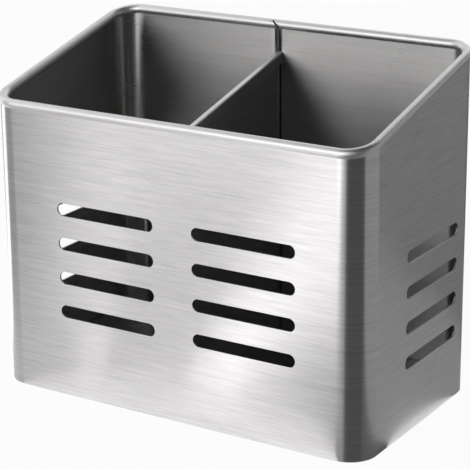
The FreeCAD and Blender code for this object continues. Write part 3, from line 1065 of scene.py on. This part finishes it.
@dataclass(frozen=True)
class Studio:
    """Pale floor, white background, a soft lamp and the cards that the steel mirrors."""

    floor_size: float = 6.0
    floor_drop: float = 0.05 * MM
    floor_tone: Colour = (0.82, 0.82, 0.82, 1)
    floor_white: float = 0.95
    shade_width: float = 163.0 * MM
    shade_depth: float = 87.0 * MM
    shade_middle: float = -2.7 * MM
    ambient: float = 0.45
    cards: tuple[Card, ...] = (
        Card("outer_card", -150, -104, 0.45, BACK_FOOT, BACK_HEAD),
        Card("outer_floor_card", -145, -104, 0.45, NEAR_EDGE, FAR_EDGE),
        Card("edge_card", -104, -78, 1.30, BACK_FOOT, BACK_HEAD),
        Card("edge_floor_card", -104, -78, 1.50, NEAR_EDGE, FAR_EDGE),
        Card("left_card", -78, -41, 0.34, BACK_FOOT, BACK_HEAD),
        Card("left_floor_card", -78, -40.5, 0.36, MIDDLE_EDGE, FAR_EDGE),
        Card("low_floor_card", -78, -40.5, 0.62, NEAR_EDGE, MIDDLE_EDGE),
        Card("pale_floor_card", -40.5, -34, 0.95, NEAR_EDGE, FAR_EDGE),
        Card("middle_floor_card", -34, -13, 0.58, NEAR_EDGE, FAR_EDGE),
        Card("bright_floor_card", -13, 2, 1.80, NEAR_EDGE, FAR_EDGE),
        Card("key_card", -41, 2, 0.02, BACK_FOOT, BACK_HEAD),
        Card("front_card", 2, 74, 0.05, BACK_FOOT, BACK_HEAD),
        Card("front_floor_card", 2, 74, 0.10, NEAR_EDGE, FAR_EDGE),
        Card("right_card", 74, 165, 0.33, BACK_FOOT, BACK_HEAD),
        Card("right_floor_card", 74, 132, 0.30, NEAR_EDGE, FAR_EDGE),
        Card("back_floor_card", 132, 158, 0.18, NEAR_EDGE, FAR_EDGE),
        Card("far_floor_card", 158, 215, 0.05, NEAR_EDGE, FAR_EDGE),
        Card("upper_card", -39, 150, 0.005, BACK_HEAD, UPPER_TIP),
        Card("zenith_card", 150, 321, 0.005, ZENITH_EDGE, UPPER_TIP),
    )
    lamps: tuple[Softbox, ...] = (
        Softbox("key", (-0.266, -1.068, 0.44), 1.05, 0.86, 6.03),
    )

    def build(self) -> None:
        """Set the whole stage."""
        self._floor()
        self._world()
        for item in (*self.cards, *self.lamps):
            item.build()

    def _floor(self) -> None:
        """Lay the floor, white to the camera and to reflections, but shaded under the basket."""
        mesh = bmesh.new()
        bmesh.ops.create_grid(mesh, x_segments=1, y_segments=1, size=self.floor_size / 2,
                              matrix=Matrix.Translation((0, 0, -self.floor_drop)))
        floor = new_object("floor", mesh)
        material, graph = new_material("floor")
        place = graph.node("ShaderNodeTexCoord", output="Object")
        x, y = (graph.node("ShaderNodeSeparateXYZ", None, {"Vector": place}, output=axis)
                for axis in "XY")
        beside = x.outside(self.shade_width / 2)
        clear = beside.larger((y - self.shade_middle).outside(self.shade_depth / 2))
        paper = graph.node("ShaderNodeBsdfDiffuse", None, {"Color": self.floor_tone})
        white = graph.node("ShaderNodeEmission", None, {"Color": WHITE, "Strength": 1.0})
        mixed = graph.node("ShaderNodeMixShader", None,
                           {0: light_path(graph) * clear * self.floor_white, 1: paper, 2: white})
        graph.node("ShaderNodeOutputMaterial", None, {"Surface": mixed})
        material.cycles.emission_sampling = "NONE"
        floor.data.materials.append(material)

    def _world(self) -> None:
        """Make the background white and the light around the basket soft."""
        world = bpy.data.worlds.new("studio")
        world.use_nodes = True
        graph = Graph(world.node_tree)
        strength = self.ambient + (1 - self.ambient) * light_path(graph)
        sky = graph.node("ShaderNodeBackground", None, {"Color": WHITE, "Strength": strength})
        graph.node("ShaderNodeOutputWorld", None, {"Surface": sky})
        world.cycles.sampling_method = "NONE"
        bpy.context.scene.world = world


def dress_node(name: str, material: Material) -> None:
    """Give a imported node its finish.

    Args:
        name: Name of the node.
        material: Finish for all its faces.
    """
    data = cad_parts[name].data
    data.materials.clear()
    data.materials.append(material)


def main() -> None:
    """Build the stage and the basket."""
    logging.basicConfig(level=logging.INFO)
    bpy.context.scene.view_settings.view_transform = "Standard"
    Studio().build()
    Viewpoint().build()
    steel = OUTER_STEEL.material()
    # The inner faces and both faces of the divider take the darkened steel, which paints the shade
    # inside the basket
    shaded_inner_steel = SHADED_INNER_STEEL.material()
    shaded_floor_steel = SHADED_FLOOR_STEEL.material()
    rolled_steel = ROLLED_STEEL.material()
    edge_steel = SHEARED_EDGE.material()
    weld = WELD_STEEL.material()
    wall = WallWrap("wall_wrap", steel, edge_steel, rolled_steel, shaded_inner_steel)
    wall.build()
    Divider("divider", shaded_inner_steel, edge_steel, rolled_steel, shaded_inner_steel, wall=wall).build()
    # The floor pan takes the darkened steel on every face, painted shade inside the basket
    FloorPan("floor_pan", shaded_floor_steel, edge_steel, shaded_floor_steel, shaded_floor_steel, wall=wall).build()
    for name in ("seam_welds", "floor_welds", "divider_welds"):
        dress_node(name, weld)


if __name__ == "__main__":
    main()
